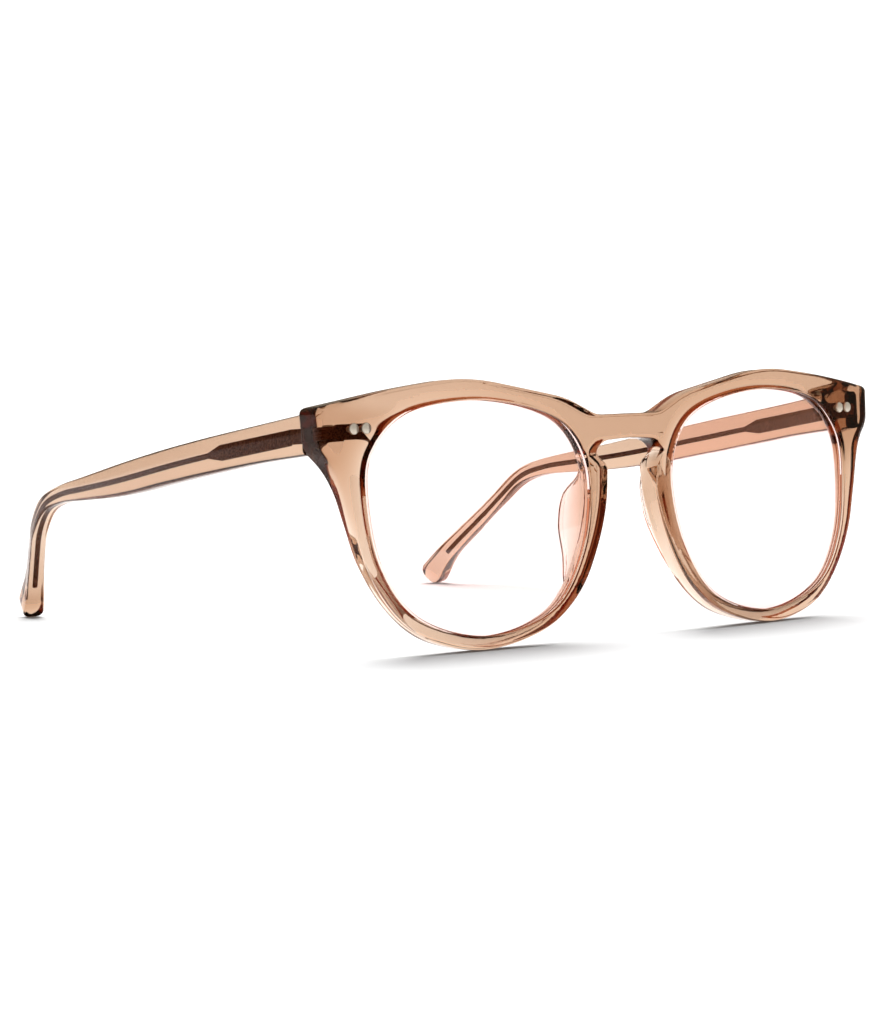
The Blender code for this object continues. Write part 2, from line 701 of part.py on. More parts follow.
def make_temple(side, name, material, axis):
    """Temple with a channel for its core, open at the hinge end."""
    path = spline(TEMPLE, 4)
    outer = []
    for index, station in enumerate(path):
        middle, across, up = sweep_frame(path, index)
        rounding = BAR_ROUND + (TAIL_ROUND - BAR_ROUND) * blend(station[1], TAIL_START_Y)
        outer.append(rounded_section(middle, across, up, station[4], station[3], rounding))
    middle, across, up = sweep_frame(path, len(path) - 1)
    along = up.cross(across)
    half_height, half_thickness = path[-1][3:]
    for step in range(1, TIP_STEPS + 1):
        angle = TIP_ANGLE * step / TIP_STEPS
        size = math.cos(angle)
        outer.append(rounded_section(middle + along * TIP_LENGTH * math.sin(angle), across, up,
                                     half_thickness * size, half_height * size, TAIL_ROUND))
    outer[0] = [(x, end_back(x) + GAP, z) for x, _, z in outer[0]]
    channel = core_rings(path, GAP)
    step_back = channel[0][0].y - outer[0][0][1]
    channel.insert(0, [(p.x, end_back(p.x) + GAP, p.z + CHANNEL_SLOPE * step_back)
                       for p in channel[0]])
    onward = (channel[-1][0] - channel[-2][0]).normalized() * CHANNEL_OVERRUN
    channel.append([point + onward for point in channel[-1]])

    bm = bmesh.new()
    outside = loft(bm, [mirrored(ring, side) for ring in outer], closed_ends=False)
    inside = loft(bm, [mirrored(ring, side) for ring in channel], closed_ends=False)
    bridge(bm, outside[0], inside[0])
    bm.faces.new(outside[-1])
    bm.faces.new(inside[-1])
    temple = finish(name, bm, material, axis)

    bm = bmesh.new()
    xs = sorted((side * (HINGE_X - SLOT_PAST_AXIS[0]), side * (TEMPLE_LEAF_X[1] + GAP)))
    box(bm, (xs[0], HINGE_Y - SLOT_PAST_AXIS[1], TEMPLE_LEAF_Z[0] - GAP),
        (xs[1], TEMPLE_LEAF_Y[1] + GAP, TEMPLE_LEAF_Z[1] + GAP))
    slot = finish(name + "_slot_tool", bm, material, axis)
    use_boolean(temple, slot, "DIFFERENCE")
    return temple


# ---------------------------------------------------------------- assembly

def make_axis(side, name, stance):
    axis = bpy.data.objects.new(name, None)
    axis.location = Vector((side * HINGE_X, HINGE_Y, HINGE_Z)) * MM
    bpy.context.collection.objects.link(axis)
    axis.parent = stance
    return axis


def build():
    clear_scene()
    acetate = make_material("acetate", (0.66, 0.40, 0.26), 0.12, transmission=0.6)
    lens = make_material("lens", (0.93, 0.90, 0.95), 0.03, transmission=1.0, alpha=0.35)
    steel = make_material("steel", (0.62, 0.60, 0.58), 0.32, metallic=1.0)
    core = make_material("core", (0.42, 0.38, 0.35), 0.5, metallic=1.0)

    stance = bpy.data.objects.new("stance", None)
    stance.location = Vector((0.0, STANCE_BACK, STANCE_HEIGHT)) * MM
    stance.rotation_euler = (-LEAN, 0.0, 0.0)
    bpy.context.collection.objects.link(stance)

    make_front(acetate, stance)
    for side, hand in ((1, "left"), (-1, "right")):
        make_lens(side, f"lens_{hand}", lens, stance)
        make_nose_pad(side, f"nose_pad_{hand}", acetate, stance)
        for x, place in zip(PIN_X, ("inner", "outer")):
            make_rivet_pin(side, x, f"rivet_pin_{hand}_{place}", steel, stance)
        make_front_hinge(side, f"front_hinge_{hand}", steel, stance)
        make_screw(side, f"hinge_screw_{hand}", steel, stance)
        axis = make_axis(side, f"axis_{hand}", stance)
        make_temple_hinge(side, f"temple_hinge_{hand}", steel, axis)
        make_core_wire(side, f"core_wire_{hand}", core, axis)
        make_temple(side, f"temple_{hand}", acetate, axis)
    bpy.context.view_layer.update()


build()
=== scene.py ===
"""Looks for the acetate glasses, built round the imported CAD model.

Sizes are in millimetres in the front's own frame: x across the face, y from the front face
towards the ears, z up. The stance matrix, read from the left hinge of the CAD model, puts that
frame in its place on the floor. Left is the wearer's left, at +x.
"""

import json
import math

import bmesh
import bpy
from mathutils import Matrix, Vector
from mathutils.geometry import delaunay_2d_cdt


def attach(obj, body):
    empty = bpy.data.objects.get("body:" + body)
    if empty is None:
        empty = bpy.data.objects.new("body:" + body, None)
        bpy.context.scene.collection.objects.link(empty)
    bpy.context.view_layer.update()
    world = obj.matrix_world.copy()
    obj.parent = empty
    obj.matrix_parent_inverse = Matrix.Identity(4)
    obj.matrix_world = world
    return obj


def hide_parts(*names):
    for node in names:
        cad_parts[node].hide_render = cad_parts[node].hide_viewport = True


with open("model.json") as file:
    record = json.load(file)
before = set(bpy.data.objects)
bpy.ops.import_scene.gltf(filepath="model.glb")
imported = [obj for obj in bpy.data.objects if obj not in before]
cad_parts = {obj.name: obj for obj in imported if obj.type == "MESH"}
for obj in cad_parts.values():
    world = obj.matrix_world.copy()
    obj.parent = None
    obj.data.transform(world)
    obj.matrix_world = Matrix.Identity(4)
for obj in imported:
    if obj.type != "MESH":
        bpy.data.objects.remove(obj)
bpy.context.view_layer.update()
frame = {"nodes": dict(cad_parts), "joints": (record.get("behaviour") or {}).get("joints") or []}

MM = 0.001
SMOOTH_ANGLE = math.radians(35.0)       # edges that turn further than this stay sharp

# Front
FRONT_RADIUS = 535.0        # the front is bowed round the face on this radius
BRIDGE_THICKNESS = 4.8
RIM_THICKNESS = 3.9         # the outer rims get thinner downwards
RIM_THINNING = (-10.0, 9.8)     # z where they stop and start doing so
BROW_THICKNESS = 4.5        # above the rims and up to the end blocks
BRIDGE_TO_BROW = (18.0, 46.0)   # x where the bridge's thickness turns into that of the sides
END_THICKNESS = 5.8         # the end blocks that hold the hinges are thicker
BLOCK_FROM_X = 36.0         # the end block lies outside this x, between the next two ramps
BLOCK_BOTTOM = (3.0, 13.0)  # z where the back face rises to the end block, coming up the rim
BLOCK_TOP = ((52.7, 18.6), (64.0, 21.0))    # x, z of two points on the ramp below the brow
BLOCK_TOP_RAMP = 2.0        # half the width of that ramp
OPENING_RAMP = (0.0, 4.0)   # distances from the opening between which the block rises
OPENING_RAMP_ENDS = (15.0, 20.0)    # z where that ramp gives way to the full thickness
EDGE_ROUND = 0.6            # rounding of the bridge's edges; the others have their own
OPENING_ROUND = 0.3         # of the lens openings, in front and behind
OPENING_BACK_ROUND = 1.8
OUTER_FRONT_ROUND = 0.9     # of the outer edges beyond the bridge, in front and behind
OUTER_BACK_ROUND = 1.3
OUTER_ROUND_X = (20.0, 48.0)    # x where the bridge's rounding turns into theirs
END_FRONT_ROUND = 1.4       # of the ends, where the temples meet the blocks
END_BACK_ROUND = 0.3
END_ROUND_X = (63.0, 69.0)  # x where the outer front edge's rounding turns into the ends'
HINGE = (63.5, 11.9, 15.7)  # middle of the left hinge's knuckles

# Mesh of the front
OUTLINE_STEPS = 48          # points between two of the outline's own points
LONGEST_EDGE = 1.2
OUTLINE_TURN = 5.0          # most degrees between two neighbouring edges of the outline
OPENING_TURN = 4.0
FILL_SPACING = 0.6          # between points on the front and back faces at the end blocks
FILL_STEPS = (120, 45)      # that reach from the middle past the front's sides and past its top
FILL_FINE_FROM = (46.0, 6.0)    # nearer the middle than this x or below this z it doubles
FILL_MARGIN = 0.3           # kept between those points and the borders
FILL_TOLERANCE = 1e-6       # points closer together than this are one

# Lens opening
GROOVE = (0.7, 2.7)         # y of the groove's two sides, behind the front face
GROOVE_DEPTH = 0.35
LENS_THICKNESS = 1.4
LENS_INSET = 0.3            # how far the lens edge reaches into the groove
LENS_CROWN = 1.2            # the middle of the lens bulges forward by this much
LENS_RINGS = 14             # rings of faces from the lens's middle to its edge

# Rivet pins in the front face
PIN_X = (60.05, 62.6)       # the two pins on the left; those on the right mirror them
PIN_Z = 16.55
PIN_HEAD_RADIUS = 1.02
PIN_HEAD_DEPTH = 0.6
PIN_RADIUS = 0.55
PIN_LENGTH = 2.6
PIN_PROUD = 0.05            # how far the head stands out of the face
PIN_CHAMFER = 0.12          # round the head's face
PIN_SEGMENTS = 48

# Temple and its core
PLATE_HALF_HEIGHT = 1.38
PLATE_HALF_THICKNESS = 0.45
PLATE_CORNER = 0.2          # rounding of the plate's edges, which grows along its point
CORNER_GROWTH = 0.4
WIRE_RADIUS = 0.5
PLATE_START_Y = 14.9
PLATE_SHOULDER_Y = 34.5     # where the plate starts to narrow
PLATE_TIP_Y = 38.5          # and where it has become the wire
SHOULDER_LEAD = 0.3         # a station this far before the shoulder keeps it crisp
POINT_RUN = 0.4             # and so does one this far behind the point
WIRE_FIRST_STEP = 0.5       # from there to the wire's next station, at least
WIRE_END_Y = 122.0
BAR_ROUND = 0.9             # rounding of the temple's edges, along its bar and round its tail
TAIL_ROUND = 0.45
FACE_CROWN = 0.25           # how far the bar's sides fall back towards their edges
TAIL_START_Y = (80.0, 100.0)    # y where the bar turns into the tail
TIP_LENGTH = 2.36           # of the rounded cap on the temple's end
TIP_ANGLE = math.radians(86.0)          # that the cap's arc turns through
TIP_FULLNESS = 0.7          # 1 is a round cap, and less is a fuller one
TIP_ROUND = 1.2             # rounding of the edges where the cap ends
TIP_STEPS = 8
TEMPLE_STEPS = 16           # stations between two of the temple's own points
LARGEST_ROUND = 0.98        # share of a section's half size that its rounding may take
GAP = 0.3                   # between the end block and the temple's end

# Studio
BACKDROP_LIGHT = 1.6        # brightness of the white room all round
MIRRORED_LIGHT = (0.20, 0.16, 0.12)     # what the outside of a piece mirrors
INNER_LIT_SIDE = (0.80, 0.40, 0.24)     # share of light left by each reflection inside a piece,
INNER_DARK_SIDE = (0.42, 0.18, 0.10)    # for light from the lit side and from the other side
LIT_SIDE = (0.64, -0.77, 0.0)   # the room's direction in front of the wearer and to their left
LIT_SIDE_EDGES = (-0.3, 0.5)    # cosines to that direction between which the sides blend
DIFFUSE_SHARE = 0.2         # share of the backdrop's light left by each matt reflection
KEY_LIGHT = 4.58            # brings the floor to the backdrop's brightness where nothing shades it
KEY_ANGLE = math.radians(60.0)          # how wide the light is, which softens its shadows
KEY_TILT = math.radians(28.0)           # from straight above towards the far side
FLOOR_SHADE = 0.9
FLOOR_SIZE = 4.0            # metres from its middle to each side
FLOOR_DROP = 0.00005        # metres below the lowest point
CAMERA_AIM = (-47.3, -0.1, 1.35)        # in the front's own frame
CAMERA_DISTANCE = 0.6       # metres
CAMERA_AZIMUTH = math.radians(-39.62)
CAMERA_ELEVATION = math.radians(3.40)
CAMERA_ROLL = math.radians(-0.93)
CAMERA_LENS = 118.9         # focal length
CAMERA_CLIP = (0.01, 50.0)  # nearest and farthest point it sees, in metres

# Half of the front's outline, x and z, from the middle of the bridge's top outwards, down the
# outer rim, under the lens and up the nose side to the keyhole. A third number marks a corner
# and says how far along its two sides it is rounded; the other points lie on smooth curves.
OUTLINE = (
    (0.0, 17.15), (7.9, 17.15, 1.6), (15.0, 20.55, 3.0), (37.9, 25.17, 7.0), (54.3, 23.2),
    (69.8, 20.6, 1.3), (69.5, 13.4, 1.8), (66.1, 8.7), (63.6, 0.0), (61.3, -7.6),
    (56.9, -15.0), (51.0, -20.6), (44.0, -23.4), (36.3, -24.39), (27.6, -23.1), (19.9, -20.1),
    (13.5, -14.4), (9.2, -6.8), (6.7, 0.6), (5.85, 7.6, 1.2), (8.7, 10.0, 0.9),
    (6.9, 12.2, 2.0), (0.0, 12.6),
)

# The left lens opening, x and z, clockwise seen from the front.
OPENING = (
    (10.4, 4.2), (13.2, 13.0), (20.8, 18.1), (35.8, 20.7), (51.0, 18.9), (58.8, 12.5),
    (60.4, 4.2), (58.2, -8.3), (50.8, -17.8), (36.0, -21.9), (21.0, -18.2), (13.1, -8.2),
)
OPENING_MIDDLE_X = 0.5 * (OPENING[0][0] + OPENING[6][0])

# Left nose pad: z, then x and y of its foot's two sides and of its crest.
PAD_STATIONS = (
    (7.6, 7.2, 9.2, 8.3, 5.9),
    (5.8, 7.0, 10.0, 8.6, 6.7),
    (2.5, 7.0, 10.4, 10.2, 9.0),
    (-3.0, 8.6, 11.3, 11.4, 9.3),
    (-8.7, 10.8, 13.0, 12.5, 7.4),
    (-12.5, 12.9, 14.6, 13.8, 6.1),
)
PAD_STEPS = 8
PAD_CREST = 1.3             # width of the rounded crest
PAD_CREST_STEPS = 6
PAD_SUNK = 1.9              # how far the pad's foot reaches into the front
PAD_SHARES = (0.2, 0.4, 0.6, 0.8)       # heights of the points on the pad's two sides
PAD_HOLLOW = 0.25           # the nose side is hollowed by this much
PAD_SWELL = 0.15            # and the eye side swells by this much
PAD_TOP_END = (1.8, -1.2, 1.8)          # from the first and the last station to the two
PAD_LOW_END = (1.3, -1.7, -2.6)         # ends, which run out inside the front

# Middle line of the left temple: x, y, z, half its height and half its thickness.
TEMPLE = (
    (67.15, 10.8, 16.0, 3.7, 2.1),
    (68.1, 24.0, 14.9, 3.4, 2.1),
    (68.5, 38.0, 13.55, 3.35, 2.1),
    (67.9, 52.0, 12.15, 3.3, 2.1),
    (66.8, 65.0, 10.75, 3.2, 2.1),
    (65.8, 75.0, 9.8, 2.9, 2.05),
    (64.4, 86.0, 9.0, 2.3, 1.95),
    (63.2, 96.0, 8.2, 1.7, 1.75),
    (62.5, 103.5, 6.3, 1.5, 1.6),
    (61.0, 109.6, 1.9, 1.5, 1.55),
    (58.5, 115.1, -3.2, 1.6, 1.55),
    (55.5, 121.2, -9.1, 1.95, 1.75),
    (54.0, 125.25, -13.89, 2.6, 2.1),
)


def stance_matrix():
    """Takes the front's own frame, in millimetres, to the model's frame, in metres."""
    joint = next(j for j in frame["joints"] if j["name"] == "fold_left")
    lean = math.atan2(joint["axis"][1], joint["axis"][2])
    return (Matrix.Translation(joint["pos_m"]) @ Matrix.Rotation(-lean, 4, "X")
            @ Matrix.Scale(MM, 4) @ Matrix.Translation(-Vector(HINGE)))


STANCE = stance_matrix()


# ---------------------------------------------------------------- curves

def spline(points, steps):
    """Catmull-Rom curve through the points; every number of a point is interpolated."""
    count = len(points)
    curve = []
    for index in range(count - 1):
        p1, p2 = points[index], points[index + 1]
        p0 = points[index - 1] if index > 0 else [2 * a - b for a, b in zip(p1, p2)]
        p3 = points[index + 2] if index + 2 < count else [2 * b - a for a, b in zip(p1, p2)]
        for step in range(steps):
            t = step / steps
            curve.append(tuple(
                0.5 * (2 * b + (c - a) * t + (2 * a - 5 * b + 4 * c - d) * t ** 2
                       + (3 * b - a - 3 * c + d) * t ** 3)
                for a, b, c, d in zip(p0, p1, p2, p3)))
    curve.append(tuple(points[-1]))
    return curve


def closed_spline(points, steps=24):
    """Catmull-Rom loop through the points, without repeating the first one."""
    padded = points[-2:] + points + points[:2]
    curve = spline(padded, steps)
    return curve[2 * steps:(len(points) + 2) * steps]


def cut_back(path, distance):
    """The path from its start up to the given distance before its end. Two points are left,
    at least a tenth of a step apart."""
    path = list(path)
    while len(path) > 2 and math.dist(path[-1], path[-2]) < distance:
        distance -= math.dist(path[-1], path[-2])
        path.pop()
    share = min(0.9, distance / math.dist(path[-1], path[-2]))
    path[-1] = tuple(a + (b - a) * share for a, b in zip(path[-1], path[-2]))
    return path


def round_corner(before, after, size, steps=16):
    """Joins two stretches that meet in a corner by a smooth turn of the given size."""
    corner = after[0]
    before = cut_back(before, size)
    after = cut_back(after[::-1], size)[::-1]
    turn = []
    for step in range(1, steps):
        t = step / steps
        turn.append(tuple((1 - t) ** 2 * a + 2 * t * (1 - t) * b + t ** 2 * c
                          for a, b, c in zip(before[-1], corner, after[0])))
    return before + turn, after


def cornered_path(points):
    """Path through points (x, z) or (x, z, corner size), smooth except at the corners."""
    marks = [i for i, point in enumerate(points) if len(point) == 3]
    stops = [0] + marks + [len(points) - 1]
    path = []
    for start, stop in zip(stops, stops[1:]):
        stretch = spline([point[:2] for point in points[start:stop + 1]], OUTLINE_STEPS)
        if path:
            path, stretch = round_corner(path, stretch, points[start][2])
        path += stretch[1:] if path and path[-1] == stretch[0] else stretch
    return path


def resample(loop, longest, sharpest):
    """Closed loop with points set closer where it turns: a step is at most `longest` long
    and turns by at most `sharpest` degrees."""
    count = len(loop)
    cost = [0.0]
    for index in range(count):
        a, b, c = loop[index - 1], loop[index], loop[(index + 1) % count]
        turn = math.atan2(c[1] - b[1], c[0] - b[0]) - math.atan2(b[1] - a[1], b[0] - a[0])
        turn = abs(math.degrees(math.remainder(turn, math.tau)))
        cost.append(cost[-1] + math.dist(b, c) / longest + turn / sharpest)
    steps = math.ceil(cost[-1])
    points = []
    index = 0
    for step in range(steps):
        goal = cost[-1] * step / steps
        while cost[index + 1] < goal:
            index += 1
        share = (goal - cost[index]) / (cost[index + 1] - cost[index])
        a, b = loop[index], loop[(index + 1) % count]
        points.append((a[0] + (b[0] - a[0]) * share, a[1] + (b[1] - a[1]) * share))
    return points


def inward_normals(loop):
    """Unit normals of a clockwise loop's points, pointing to its inside."""
    count = len(loop)
    normals = []
    for index in range(count):
        a, b = loop[index - 1], loop[(index + 1) % count]
        length = math.dist(a, b)
        normals.append(((b[1] - a[1]) / length, (a[0] - b[0]) / length))
    return normals


def offset(loop, distance):
    """Clockwise loop moved inwards by a distance, or outwards by a negative one."""
    return [(x + nx * distance, z + nz * distance)
            for (x, z), (nx, nz) in zip(loop, inward_normals(loop))]


def inside(point, loop):
    """Whether a point lies inside a closed loop."""
    x, z = point
    odd = False
    for (ax, az), (bx, bz) in zip(loop, loop[1:] + loop[:1]):
        if (az > z) != (bz > z) and x < ax + (z - az) / (bz - az) * (bx - ax):
            odd = not odd
    return odd


def front_outline():
    """The whole outline of the front, clockwise seen from the front."""
    half = cornered_path(OUTLINE)
    other = [(-x, z) for x, z in half[::-1]]
    return resample(half + other[1:-1], LONGEST_EDGE, OUTLINE_TURN)


def lens_opening(side):
    """One lens opening, clockwise; side is 1 for the left lens and -1 for the right."""
    loop = closed_spline(list(OPENING))
    if side < 0:
        loop = [(-x, z) for x, z in loop[::-1]]
    return resample(loop, LONGEST_EDGE, OPENING_TURN)


OPENING_EDGE = closed_spline(list(OPENING))


def bow(x):
    """How far the front's curve has gone back at x."""
    return x * x / (2 * FRONT_RADIUS)


def blend(value, limits):
    """Rises smoothly from 0 at the first limit to 1 at the second."""
    share = (value - limits[0]) / (limits[1] - limits[0])
    share = min(1.0, max(0.0, share))
    return share * share * (3 - 2 * share)


def below_block_top(x, z):
    """Distance of a point below the line on which the end block's top ramp runs."""
    (x1, z1), (x2, z2) = BLOCK_TOP
    return ((abs(x) - x1) * (z2 - z1) - (z - z1) * (x2 - x1)) / math.dist(*BLOCK_TOP)


def from_opening(x, z):
    """Distance of a point from the edge of the lens opening on its side."""
    return min(math.dist((abs(x), z), point) for point in OPENING_EDGE)


def thickness(x, z):
    """Thickness of the front: thinner at the lower rims and thicker at the end blocks."""
    rim = RIM_THICKNESS + (BROW_THICKNESS - RIM_THICKNESS) * blend(z, RIM_THINNING)
    rim = BRIDGE_THICKNESS + (rim - BRIDGE_THICKNESS) * blend(abs(x), BRIDGE_TO_BROW)
    if abs(x) < BLOCK_FROM_X or z < BLOCK_BOTTOM[0]:
        return rim
    share = blend(below_block_top(x, z), (-BLOCK_TOP_RAMP, BLOCK_TOP_RAMP))
    share *= blend(z, BLOCK_BOTTOM)
    share *= max(blend(from_opening(x, z), OPENING_RAMP), blend(z, OPENING_RAMP_ENDS))
    return rim + (END_THICKNESS - rim) * share


def end_back(x):
    """y of the end block's back face."""
    return bow(x) + END_THICKNESS


# ---------------------------------------------------------------- meshes

def finish(name, bm, material):
    """Turns a bmesh in millimetres into a smooth object in its place."""
    bmesh.ops.recalc_face_normals(bm, faces=bm.faces)
    bmesh.ops.transform(bm, matrix=STANCE, verts=bm.verts)
    mesh = bpy.data.meshes.new(name)
    bm.to_mesh(mesh)
    bm.free()
    mesh.materials.append(material)
    mesh.shade_smooth()
    mesh.set_sharp_from_angle(angle=SMOOTH_ANGLE)
    item = bpy.data.objects.new(name, mesh)
    bpy.context.collection.objects.link(item)
    return item


def stand_for(item, body, slot, *nodes):
    """Lets a piece ride on a body in the place of CAD nodes, which it hides. The slot is not used.
    """
    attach(item, body)
    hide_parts(*nodes)


def bridge(bm, first, second):
    """Band of faces between two rings of the same count."""
    count = len(first)
    for i in range(count):
        j = (i + 1) % count
        bm.faces.new((first[i], first[j], second[j], second[i]))


def loft(bm, rings, closed_ends=True):
    """Skin over rings of points, with or without a face across each end."""
    rings = [[bm.verts.new(point) for point in ring] for ring in rings]
    for first, second in zip(rings, rings[1:]):
        bridge(bm, first, second)
    if closed_ends:
        bm.faces.new(rings[0])
        bm.faces.new(rings[-1][::-1])
    return rings


def rounded_edge(front_round, back_round, depth, steps=5):
    """Profile of a rounded edge as (inset, depth) pairs, from the front face to the back."""
    profile = []
    for step in range(steps + 1):
        angle = math.pi / 2 * step / steps
        profile.append((front_round * (1 - math.sin(angle)),
                        front_round * (1 - math.cos(angle))))
    for step in range(steps + 1):
        angle = math.pi / 2 * step / steps
        profile.append((back_round * (1 - math.cos(angle)),
                        depth - back_round * (1 - math.sin(angle))))
    return profile


def use_boolean(item, tool, operation):
    """Cuts or joins at once and takes the tool away."""
    modifier = item.modifiers.new(operation.lower(), "BOOLEAN")
    modifier.operation = operation
    modifier.object = tool
    depsgraph = bpy.context.evaluated_depsgraph_get()
    mesh = bpy.data.meshes.new_from_object(item.evaluated_get(depsgraph))
    item.modifiers.clear()
    item.data = mesh
    bpy.data.objects.remove(tool, do_unlink=True)


def mirrored(points, side):
    """The points as they are for side 1, and their mirror images for side -1."""
    return [(side * x, y, z) for x, y, z in points]


def turned(radii_and_depths, segments, start):
    """Solid of revolution along y as a bmesh, from (radius, distance) pairs."""
    bm = bmesh.new()
    rings = []
    for radius, distance in radii_and_depths:
        rings.append([(start[0] + radius * math.cos(math.tau * i / segments),
                       start[1] + distance,
                       start[2] + radius * math.sin(math.tau * i / segments))
                      for i in range(segments)])
    loft(bm, rings)
    return bm


# ---------------------------------------------------------------- front

def outer_wall_rings():
    """Rings round the outside of the front, from the front face to the back."""
    outline = front_outline()
    rings = [[] for _ in rounded_edge(0.0, 0.0, 0.0)]
    for (x, z), (nx, nz) in zip(outline, inward_normals(outline)):
        outer = blend(abs(x), OUTER_ROUND_X)
        front_round = EDGE_ROUND + (OUTER_FRONT_ROUND - EDGE_ROUND) * outer
        front_round += (END_FRONT_ROUND - front_round) * blend(abs(x), END_ROUND_X)
        back_round = EDGE_ROUND + (OUTER_BACK_ROUND - EDGE_ROUND) * outer
        back_round += (END_BACK_ROUND - back_round) * blend(z, BLOCK_BOTTOM) * outer
        profile = rounded_edge(front_round, back_round, BRIDGE_THICKNESS)
        for ring, (inset, depth) in zip(rings, profile):
            ring.append((x + nx * inset, depth, z + nz * inset))
    return rings


def fill_face(bm, rings, depth):
    """Fills the flat face between the outline and the two openings with small triangles,
    smaller ones at the end blocks, whose back face is shaped afterwards."""
    corners = [vertex for ring in rings for vertex in ring]
    points = [Vector((vertex.co.x, vertex.co.z)) for vertex in corners]
    loops = [[(vertex.co.x, vertex.co.z) for vertex in ring] for ring in rings]
    edges = []
    first = 0
    for ring in rings:
        count = len(ring)
        edges += [(first + i, first + (i + 1) % count) for i in range(count)]
        first += count
    half_width, half_height = FILL_STEPS
    for row in range(-half_height, half_height + 1):
        for column in range(-half_width, half_width + 1):
            point = (FILL_SPACING * (column + 0.5 * (row % 2)), FILL_SPACING * row)
            near_block = abs(point[0]) > FILL_FINE_FROM[0] and point[1] > FILL_FINE_FROM[1]
            if not near_block and (row % 2 or column % 2):
                continue
            if not inside(point, loops[0]) or any(inside(point, loop) for loop in loops[1:]):
                continue
            place = Vector(point)
            if min((place - other).length_squared for other in points[:first]) > FILL_MARGIN ** 2:
                points.append(place)
    flat, _, faces, origins, _, _ = delaunay_2d_cdt(points, edges, [], 0, FILL_TOLERANCE)
    vertices = []
    for place, origin in zip(flat, origins):
        known = [index for index in origin if index < first]
        if known:
            vertices.append(corners[known[0]])
        else:
            vertices.append(bm.verts.new((place.x, depth, place.y)))
    for face in faces:
        middle = sum((flat[index] for index in face), Vector((0, 0))) / len(face)
        if inside(middle, loops[0]) and not any(inside(middle, loop) for loop in loops[1:]):
            bm.faces.new([vertices[index] for index in face])


def make_front(material):
    """Front and nose pads as one polished piece, drawn flat, then thickened and bowed."""
    bm = bmesh.new()
    borders = [loft(bm, outer_wall_rings(), closed_ends=False)]
    edge = rounded_edge(OPENING_ROUND, OPENING_BACK_ROUND, BRIDGE_THICKNESS)
    half = len(edge) // 2
    grooved = edge[:half] + [(0.0, GROOVE[0]), (GROOVE_DEPTH, GROOVE[0]),
                             (GROOVE_DEPTH, GROOVE[1]), (0.0, GROOVE[1])] + edge[half:]
    for side in (1, -1):
        opening = lens_opening(side)
        rings = [[(x, depth, z) for x, z in offset(opening, -inset)] for inset, depth in grooved]
        borders.append(loft(bm, rings, closed_ends=False))
    fill_face(bm, [border[0] for border in borders], 0.0)
    fill_face(bm, [border[-1] for border in borders], BRIDGE_THICKNESS)
    # Whatever lies behind the lens groove is stretched to the thickness wanted there.
    lip = BRIDGE_THICKNESS - GROOVE[1]
    for vertex in bm.verts:
        x, y, z = vertex.co
        share = max(0.0, (y - GROOVE[1]) / lip)
        vertex.co.y = y + share * (thickness(x, z) - BRIDGE_THICKNESS) + bow(x)
    front = finish("acetate_front", bm, material)
    for side in (1, -1):
        use_boolean(front, nose_pad(side, material), "UNION")
    front.data.set_sharp_from_angle(angle=SMOOTH_ANGLE)
    # The large flat faces stay flat in their shading right up to the rounded edges.
    weighted = front.modifiers.new("flat_faces", "WEIGHTED_NORMAL")
    weighted.keep_sharp = True
    stand_for(front, "front", "acetate", "frame_front", "nose_pad_left", "nose_pad_right")


def nose_pad(side, material):
    """Pad on the back of the rim beside the nose, leaning out towards the eye."""
    bm = bmesh.new()
    rings = []
    crest_height = PAD_CREST / 3
    for z, foot_in, foot_out, crest_x, crest_y in spline(PAD_STATIONS, PAD_STEPS):
        foot = BRIDGE_THICKNESS + bow(foot_in)
        height = crest_y - foot
        profile = [(foot_in, foot - PAD_SUNK), (foot_in, foot)]
        lean = crest_x - foot_in
        for share in PAD_SHARES:
            profile.append((foot_in + lean * share - PAD_HOLLOW * math.sin(math.pi * share),
                            foot + height * share * (1 - crest_height / height)))
        for step in range(PAD_CREST_STEPS + 1):
            angle = math.pi * step / PAD_CREST_STEPS
            profile.append((crest_x - PAD_CREST / 2 * math.cos(angle),
                            crest_y - crest_height * (1 - math.sin(angle))))
        lean = crest_x - foot_out
        for share in PAD_SHARES[::-1]:
            profile.append((foot_out + lean * share + PAD_SWELL * math.sin(math.pi * share),
                            foot + height * share * (1 - crest_height / height)))
        profile += [(foot_out, foot), (foot_out, foot - PAD_SUNK)]
        rings.append(mirrored([(x, y, z) for x, y in profile], side))
    ends = []
    for ring, (dx, dy, dz) in ((rings[0], PAD_TOP_END), (rings[-1], PAD_LOW_END)):
        ends.append([(x + side * dx, y + dy, z + dz) for x, y, z in ring])
    loft(bm, [ends[0]] + rings + [ends[1]])
    return finish("nose_pad_tool", bm, material)


def make_lens(side, hand, material):
    """Lens that follows the front's curve, crowned forward in the middle."""
    bm = bmesh.new()
    edge = offset(lens_opening(side), -LENS_INSET)
    middle = side * OPENING_MIDDLE_X
    depth = sum(GROOVE) / 2
    surfaces = []
    for face in (-1, 1):
        rings = []
        for step in range(1, LENS_RINGS + 1):
            share = step / LENS_RINGS
            place = depth - LENS_CROWN * (1 - share * share) + face * LENS_THICKNESS / 2
            rings.append([(middle + (x - middle) * share,
                           bow(middle + (x - middle) * share) + place, z * share)
                          for x, z in edge])
        surfaces.append(loft(bm, rings, closed_ends=False))
        centre = bm.verts.new((middle, bow(middle) + depth - LENS_CROWN
                               + face * LENS_THICKNESS / 2, 0.0))
        inner = surfaces[-1][0]
        for i, vertex in enumerate(inner):
            bm.faces.new((vertex, inner[(i + 1) % len(inner)], centre))
    bridge(bm, surfaces[0][-1], surfaces[1][-1])
    lens = finish(f"clear_lens_{hand}", bm, material)
    stand_for(lens, "front", "lens", f"lens_{hand}")


